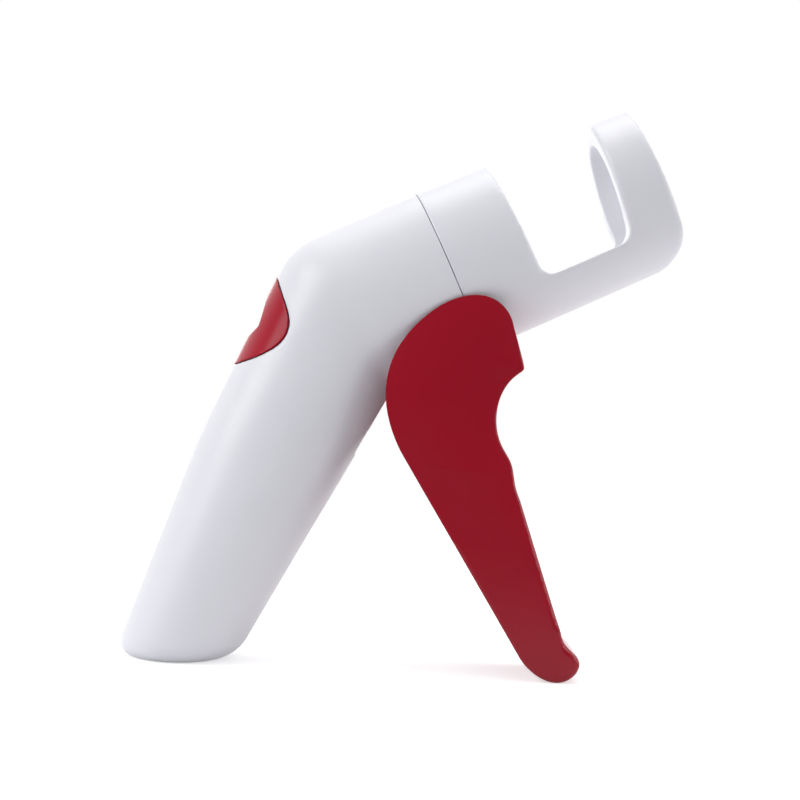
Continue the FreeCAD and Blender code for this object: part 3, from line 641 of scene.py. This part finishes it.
outer = tube("body_outer", body_rings(0.0, OUTER_END))
print("body tube:", len(outer.data.vertices), "points")

# %% [markdown]
# The thumb rest is a red inlay in the back of the elbow, and the body has a recess of the same outline: a
# deep lens. A few points of the lens, read on the side view, are joined by a curve that passes through
# each of them, because arcs would show a kink where they meet.

# %% Outline of the thumb rest's recess
INLAY_GAP = 0.16
THUMB_RISE = 8.5
LENS = ((14.25, 0.6), (10.6, -3.2), (8.6, -5.35), (6.85, -7.0), (5.0, -8.2), (2.9, -8.7),
        (0.9, -8.4), (-1.3, -7.35), (-4.8, -4.5), (-8.35, -0.5), (-9.4, 0.7))
LENS_OPEN = 14
CURVE_STEPS = 8


def curve_through(points):
    """More points on a smooth curve that passes through the given ones."""
    found = []
    for number in range(len(points) - 1):
        b, c = points[number], points[number + 1]
        a = points[number - 1] if number else b * 2 - c
        d = points[number + 2] if number + 2 < len(points) else c * 2 - b
        for step in range(CURVE_STEPS):
            t = step / CURVE_STEPS
            found.append((b * 2 + (c - a) * t + (a * 2 - b * 5 + c * 4 - d) * t ** 2
                          + (b * 3 - a - c * 3 + d) * t ** 3) / 2)
    return found + [points[-1]]


def at_thumb(p, q):
    """A place at the thumb rest: p up along the back, q out of it."""
    return upper_point + upper_dir * (THUMB_RISE + p) + polar(UPPER_BACK_ANGLE + 90) * q


def inlay_outline(grow):
    """The lens outline of the thumb rest, opened outwards past the back of the handle."""
    curve = curve_through([at_thumb(p, q) for p, q in LENS])
    outline = []
    for last, place, following in zip(curve[:1] + curve[:-1], curve, curve[1:] + curve[-1:]):
        outline.append(place + (following - last).cross(Vector((0, 1, 0))).normalized() * grow)
    return outline + [at_thumb(LENS[-1][0], LENS_OPEN), at_thumb(LENS[0][0], LENS_OPEN)]


print("recess outline:", len(inlay_outline(INLAY_GAP)), "points")

# %% [markdown]
# Inside, the body carries two cheeks for the lever's hinge and three bosses for the screws. The lever's
# arms need room between the cheeks, and its hook enters through a slot in the front of the handle. The
# outlines of these are given by the barrel's own directions or by the handle's front.

# %% Places on the body
LUG_RADIUS = 6.6
LUG_INNER = 11.0
LUG_OUTER = 16.8
CHEEK_ARC = range(200, 391, 10)
CHEEK_HEEL = ((-0.6, -16.5), (-0.6, -11.5), (-16.0, -11.5), (-16.0, -15.5))
ARM_ROOM = ((-17.5, -30), (3, -30), (3, -11.6), (-17.5, -11.6))
ARM_ROOM_GAP = 0.01
HOOK_ROOM = ((5, -11.9), (18, -11.9), (18, 5.4), (5, 5.4))
HOOK_ROOM_HALF_WIDTH = 2.6
PIVOT_HOLE_RADIUS = 3.52
SCREW_PLACES = (side(-50.5, -76.0), side(-42.0, -52.0), side(-43.8, -32.5))
BOSS_RADIUS = 3.4
SCREW_HOLE_RADIUS = 1.35
SCREW_HEAD_HOLE_RADIUS = 2.8
SCREW_SEAT = 8.0
SCREW_MIDDLE = -0.25
SCREW_LENGTH = 18.5

slot_place = side(-0.9, -37.9)
into_handle = polar(HANDLE_FRONT_ANGLE + 90)
cheek = [pivot + polar(angle) * LUG_RADIUS for angle in CHEEK_ARC]
cheek += [on_barrel(s, h) for s, h in CHEEK_HEEL]
arm_room = [on_barrel(s, h) for s, h in ARM_ROOM]
hook_room = [slot_place + into_handle * u + front_dir * v for u, v in HOOK_ROOM]
print("cheek points:", len(cheek), "screws:", len(SCREW_PLACES))

# %% [markdown]
# The two halves are hollow, with a wall of 2.2 mm. Everything is joined and cut as one solid while it
# still has few faces: the hollow is a second, smaller tube, each boss is a bar that keeps only what it
# shares with the tube, and the openings are plates and pins.

# %% Body: hollow it, add what it carries, cut the openings
HOLLOW_END = 10.0
FAR = 60.0

hollow = tube("body_hollow", body_rings(WALL, HOLLOW_END))
bosses = []
for place in SCREW_PLACES:
    boss = pin("boss", place, BOSS_RADIUS, 2 * FAR)
    bosses.append(combine(boss, [twin_of(outer)], "INTERSECT"))
cheeks = [plate("cheek", cheek, -LUG_OUTER, -LUG_INNER), plate("cheek", cheek, LUG_INNER, LUG_OUTER)]
body = combine(outer, [hollow])
combine(body, bosses + cheeks, "UNION")
cutters = [plate("arm_room", arm_room, -LUG_INNER + ARM_ROOM_GAP, LUG_INNER - ARM_ROOM_GAP)]
cutters.append(plate("inlay", inlay_outline(INLAY_GAP), -FAR, FAR))
cutters.append(plate("hook_room", hook_room, -HOOK_ROOM_HALF_WIDTH, HOOK_ROOM_HALF_WIDTH))
cutters.append(pin("pivot_hole", pivot, PIVOT_HOLE_RADIUS, 2 * FAR))
for place in SCREW_PLACES:
    seat = place + Vector((0, FAR + SCREW_SEAT, 0))
    cutters.append(pin("head_hole", seat, SCREW_HEAD_HOLE_RADIUS, 2 * FAR))
    cutters.append(pin("screw_hole", place + Vector((0, SCREW_MIDDLE, 0)), SCREW_HOLE_RADIUS, SCREW_LENGTH))
combine(body, cutters)
print("body after the cuts:", len(body.data.polygons), "faces")

# %% [markdown]
# Now the solid becomes a moulding: the remesh and a few relaxing passes round every edge a little. The
# heel of the foot is then eased in by a fraction of a millimetre, so that it keeps within the
# construction's length. At last the body is cut off at the seam and parted into its near and far halves,
# with a hairline gap between them.

# %% Body: even mesh, soft edges, two halves
BODY_VOXEL = 0.45
BODY_PASSES = 5
HEEL_SQUEEZE = 0.4
SEAM_START = 0.05
PARTING_GAP = 0.12

remesh(body, BODY_VOXEL)
soften(body, BODY_PASSES)
points = places(body)
beyond = np.clip(cad_low.x / MM + HEEL_SQUEEZE - points[:, 0], 0, None)
points[:, 0] += beyond - HEEL_SQUEEZE * np.tanh(beyond / HEEL_SQUEEZE)
move_points(body, points)
slice_off(body, on_barrel(SEAM_START, 0), AXIS)
far_half = twin_of(body, "far_body")
body.name = "near_body"
slice_off(body, Vector((0, -PARTING_GAP / 2, 0)), (0, 1, 0))
slice_off(far_half, Vector((0, PARTING_GAP / 2, 0)), (0, -1, 0))
for piece, node in ((body, "near_body_shell"), (far_half, "far_body_shell")):
    smooth_shade(piece)
    stands_for(piece, "housing", "white_shell", node)

# %% [markdown]
# The head is the front of the barrel, with the open fruit pocket and the end wall. Its channel and seats
# have to fit the moving parts to a tenth of a millimetre, so it starts as a copy of its construction
# node, which already has them, and only its skin is worked. The rim of the pocket and the edge of the end
# wall are rounded widely on the real moulding. Their creases are picked by place: they lie on the tapered
# oval of the skin or past the start of the end wall.

# %% Head
HEAD_VOXEL = 0.4
HEAD_PASSES = 3
RIM_REACH = 3.2
RIM_PASSES = 26
END_REACH = 3.4
END_PASSES = 40
POCKET_START = 10.0
END_START = 47.0
GATE_CLEAR = 11.5
SEAM_GAP = 0.16
# The skin's oval falls and tapers by these millimetres for each one along the axis
SKIN_FALL = 0.011
SKIN_DEPTH_TAPER = 0.0197
SKIN_WIDTH_TAPER = 0.0138
SKIN_BAND = 0.03

head = copy_of_node("head", "pitting_head")
creases = sharp_points(head)
offset = creases - np.array(seam_centre)
along = offset @ np.array(AXIS)
above = offset @ np.array(UP)
across = offset[:, 1]
oval = ((above + SKIN_FALL * along) / (BARREL_HALF_HEIGHT - SKIN_DEPTH_TAPER * along)) ** 2
oval += (across / (BARREL_HALF_WIDTH - SKIN_WIDTH_TAPER * along)) ** 2
on_skin = np.abs(oval - 1) < SKIN_BAND
rim = creases[on_skin & (along > POCKET_START) & (along < END_START)]
end_edge = creases[(along > END_START) & (np.hypot(above, across) > GATE_CLEAR)]
print("rim points:", len(rim), "end points:", len(end_edge))
remesh(head, HEAD_VOXEL)
soften(head, RIM_PASSES, near_weights(head, rim, RIM_REACH))
soften(head, END_PASSES, near_weights(head, end_edge, END_REACH))
soften(head, HEAD_PASSES)
slice_off(head, on_barrel(SEAM_START + SEAM_GAP, 0), -AXIS)
smooth_shade(head)
stands_for(head, "housing", "white_shell", "pitting_head")

# %% [markdown]
# The lever is one thick glossy moulding: a channel that straddles the handle, with an ear on each side of
# the barrel. It too starts as a copy of its node, because its arms and hook have to fit. The real flanks
# are crowned, so their points move inwards near the outline by up to 2.2 mm, and the side that the fingers
# hold is rounded widely. The ears keep their form around the pin.

# %% Lever
LEVER_VOXEL = 0.43
LEVER_PASSES = 7
LEVER_HALF_WIDTH = 19.8
FLANK = 17.0
CROWN = 2.2
CROWN_REACH = 12.0
OUTLINE_WIDTH = 17.5
PIN_CLEAR = 8.0
LEVER_LEAN = 0.42
FINGER_FRONT = 3.0
FINGER_WIDTH = 10.0
FINGER_DROP = 20.0
FINGER_REACH = 4.6
FINGER_PASSES = 60

lever = copy_of_node("lever_moulding", "lever")
creases = sharp_points(lever)
middle_x = pivot.x + (pivot.z - creases[:, 2]) * LEVER_LEAN
from_pivot = np.hypot(creases[:, 0] - pivot.x, creases[:, 2] - pivot.z)
crease_width = np.abs(creases[:, 1])
outline_edge = creases[(crease_width > OUTLINE_WIDTH) & (from_pivot > PIN_CLEAR)]
finger_side = creases[(creases[:, 0] > middle_x + FINGER_FRONT) & (crease_width > FINGER_WIDTH)]
finger_side = finger_side[finger_side[:, 2] < seam_centre.z - FINGER_DROP]
print("outline points:", len(outline_edge), "finger side points:", len(finger_side))
remesh(lever, LEVER_VOXEL)
points = places(lever)
depth = np.clip(distance_to(points, outline_edge) / CROWN_REACH, 0, 1)
share = np.clip((np.abs(points[:, 1]) - FLANK) / (LEVER_HALF_WIDTH - FLANK), 0, 1)
points[:, 1] -= np.sign(points[:, 1]) * CROWN * (1 - depth) ** 2 * share
move_points(lever, points)
soften(lever, FINGER_PASSES, near_weights(lever, finger_side, FINGER_REACH))
soften(lever, LEVER_PASSES)
smooth_shade(lever)
stands_for(lever, "lever", "red_lever", "lever")

# %% [markdown]
# The small mouldings get the same treatment with a finer net: the red thumb rest and its slide, the slit
# gate with the ring that holds it in the head's end, and the tip of the plunger.

# %% Small mouldings
SMALL_MOULDINGS = (
    ("thumb_rest_moulding", "thumb_rest", 0.22, 6, "housing", "red_insert"),
    ("lock_slide_moulding", "lock_slide", 0.14, 4, "lock", "red_insert"),
    ("gate_disc", "pit_gate", 0.16, 2, "housing", "gate_rubber"),
    ("gate_ring_moulding", "gate_ring", 0.16, 4, "housing", "white_ring"),
    ("plunger_tip_moulding", "plunger_tip", 0.12, 3, "plunger", "tip_plastic"))

for name, node, voxel, passes, body_name, slot_name in SMALL_MOULDINGS:
    piece = copy_of_node(name, node)
    remesh(piece, voxel)
    soften(piece, passes)
    smooth_shade(piece)
    stands_for(piece, body_name, slot_name, node)

# %% [markdown]
# The return spring rides on the plunger, and its front end rests against the bush in the barrel. It keeps the
# shape of its construction node, shaded smoothly.

spring = copy_of_node("spring_coil", "return_spring")
smooth_shade(spring)
along = (places(spring) - np.array(seam_centre)) @ np.array(AXIS)
stands_for(spring, "plunger", "steel_wire", "return_spring")
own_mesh(spring)

# %% [markdown]
# The finishes come next. Each starts from a cloudy pattern with a real size, which can move the polish up
# and down, or raise a relief. These three moves and the closing link are the same for plastic and steel.

# %% Helpers for patterns


def noise(tree, place, size, detail):
    """A cloudy pattern with features of this size, in the unit of the place."""
    pattern = add_node(tree, "ShaderNodeTexNoise", {"Vector": place}, {"Scale": 1 / size, "Detail": detail})
    return pattern.outputs[0]


def spread(tree, pattern, value, share):
    """A value that the pattern moves up and down by a share of itself."""
    ends = {"To Min": value * (1 - share), "To Max": value * (1 + share)}
    return add_node(tree, "ShaderNodeMapRange", {0: pattern}, ends).outputs[0]


def relief(tree, pattern, depth_mm, **under):
    """The pattern as bumps of a depth in mm, alone or over another relief that is given as Normal."""
    links = {"Height": pattern, **under}
    return add_node(tree, "ShaderNodeBump", links, {"Strength": 1.0, "Distance": depth_mm * MM}).outputs[0]


def close_finish(tree, output, links, inputs):
    """Adds the surface shader of a finish and links it to the output."""
    surface = add_node(tree, "ShaderNodeBsdfPrincipled", links, inputs)
    tree.links.new(surface.outputs[0], output.inputs["Surface"])


print("pattern helpers:", noise.__name__, spread.__name__, relief.__name__)

# %% [markdown]
# Nearly everything is injection-moulded plastic, and what the eye reads on it is small: a slow drift of
# the colour over centimetres, a polish that is a little uneven, waves of a few millimetres where the
# plastic shrank in the mould, and the fine grain of the mould's steel. One function builds such a plastic
# from the real sizes of those four, so the satin white, the glossy red, the slippery inner plastic and
# the soft gate differ only in their numbers.

# %% Moulded plastics
MIX_A, MIX_B, MIX_RESULT = 6, 7, 2
DRIFT_MM = 28.0
POLISH_MM = 5.0
POLISH_SHARE = 0.18


def moulded(name, colour, drift_colour, roughness, waves, grain, **shader):
    """A moulded plastic; waves and grain are each a size and a depth in mm."""
    material, tree, output = new_material(name)
    place = add_node(tree, "ShaderNodeTexCoord").outputs["Object"]
    tint = add_node(tree, "ShaderNodeMix", {0: noise(tree, place, DRIFT_MM * MM, 2.0)},
                    {MIX_A: linear(colour), MIX_B: linear(drift_colour)}, data_type="RGBA")
    rough = spread(tree, noise(tree, place, POLISH_MM * MM, 4.0), roughness, POLISH_SHARE)
    sunk = relief(tree, noise(tree, place, waves[0] * MM, 1.0), waves[1])
    bumpy = relief(tree, noise(tree, place, grain[0] * MM, 2.0), grain[1], Normal=sunk)
    links = {"Base Color": tint.outputs[MIX_RESULT], "Roughness": rough, "Normal": bumpy}
    close_finish(tree, output, links, shader)
    return material


# ABS from a lightly blasted mould: a satin skin, with grain drawn at 0.45 mm so that it just shows
white_abs = moulded("white_satin_abs", "#E7E7EC", "#E1E1E7", 0.36, (16.0, 0.05), (0.45, 0.006), IOR=1.53)
# ABS from a polished mould: glossy and deep, with the soft waves of thick sections
red_abs = moulded("red_gloss_abs", "#A20A22", "#980820", 0.2, (9.0, 0.035), (0.6, 0.0016), IOR=1.53,
                  **{"Specular IOR Level": 0.36})
# The same plastic on the small thumb parts, which is a shade lighter in thin walls
red_insert_abs = moulded("red_thumb_rest_abs", "#AC0A28", "#A00824", 0.24, (6.0, 0.02), (0.4, 0.002),
                         IOR=1.53, **{"Specular IOR Level": 0.2})
# Acetal slides without oil; it is milky and waxy
acetal = moulded("natural_acetal", "#E2DFD6", "#D8D5CB", 0.42, (8.0, 0.02), (0.5, 0.004), IOR=1.48)
# Liquid-moulded silicone: matte, and light goes a little way in
silicone = moulded("milky_silicone", "#DEDEDB", "#D4D4D1", 0.52, (7.0, 0.03), (0.3, 0.004), IOR=1.42,
                   **{"Subsurface Weight": 0.3, "Subsurface Scale": 1.5 * MM})
# Polycarbonate ring and tip: harder and shinier than the shells
white_pc = moulded("white_polycarbonate", "#E6E6EA", "#DEDEE4", 0.26, (10.0, 0.02), (0.5, 0.003), IOR=1.58)
plastics = (white_abs, red_abs, red_insert_abs, acetal, silicone, white_pc)
print("plastics:", [finish.name for finish in plastics])

# %% [markdown]
# The metal parts are pins, a rod, a spring and screws. Ground steel has fine rings around the bar, so its
# noise is squeezed along the bar and stretched around it. Drawn wire and plated screws are duller, with
# small round specks.

# %% Steels
MARK_SHARE = 0.3
ALONG_BARREL = (0, math.radians(BARREL_TILT), 0)


def steel(name, colour, roughness, turn, spacing_mm, depth_mm):
    """Steel whose marks have their own spacing in mm along three turned directions."""
    material, tree, output = new_material(name)
    place = add_node(tree, "ShaderNodeTexCoord").outputs["Object"]
    turned = add_node(tree, "ShaderNodeMapping", {"Vector": place},
                      {"Rotation": turn, "Scale": [1 / (v * MM) for v in spacing_mm]})
    marks = noise(tree, turned.outputs[0], 1.0, 3.0)
    links = {"Roughness": spread(tree, marks, roughness, MARK_SHARE), "Normal": relief(tree, marks, depth_mm)}
    close_finish(tree, output, links, {"Base Color": linear(colour), "Metallic": 1.0})
    return material


# The plunger's rod: steel ground to a sliding fit
rod_steel = steel("ground_steel_rod", "#C2C3C6", 0.24, ALONG_BARREL, (0.25, 4.0, 4.0), 0.001)
# Hinge and drive pins: the same ground steel, across the tool
pin_steel = steel("ground_steel_pin", "#BDBEC1", 0.26, (0, 0, 0), (4.0, 0.25, 4.0), 0.001)
# Spring wire: hard drawn, grey and dull
wire_steel = steel("drawn_spring_wire", "#A9AAAD", 0.32, (0, 0, 0), (0.6, 0.6, 0.6), 0.002)
# Screws: steel with a thin zinc plating, a little blue
screw_steel = steel("zinc_plated_screw", "#B4B8BE", 0.36, (0, 0, 0), (0.3, 0.3, 0.3), 0.003)
print("steels:", [finish.name for finish in (rod_steel, pin_steel, wire_steel, screw_steel)])

# %% [markdown]
# The modelled pieces take their finish by name, and the construction nodes by their material slot. The
# plunger's rod shares its slot with the pins, but its ground rings run around the barrel's axis, so it has
# a finish of its own.

# %% Give every piece and every node its finish
FINISH_OF_PIECE = {
    "near_body": white_abs, "far_body": white_abs, "head": white_abs, "lever_moulding": red_abs,
    "thumb_rest_moulding": red_insert_abs, "lock_slide_moulding": red_insert_abs, "gate_disc": silicone,
    "gate_ring_moulding": white_pc, "plunger_tip_moulding": white_pc, "spring_coil": wire_steel}
FINISH_OF_SLOT = {
    "white_shell": white_abs, "red_lever": red_abs, "red_insert": red_insert_abs, "steel_pin": pin_steel,
    "steel_wire": wire_steel, "screw_steel": screw_steel, "inner_plastic": acetal, "gate_rubber": silicone,
    "white_ring": white_pc, "tip_plastic": white_pc}

for name, finish in FINISH_OF_PIECE.items():
    bpy.data.objects[name].data.materials.clear()
    bpy.data.objects[name].data.materials.append(finish)
for part in frame["record"]["subparts"]:
    finish = rod_steel if part["node"] == "plunger_rod" else FINISH_OF_SLOT[part["material_slot"]]
    for material_slot in frame["nodes"][part["node"]].material_slots:
        material_slot.material = finish
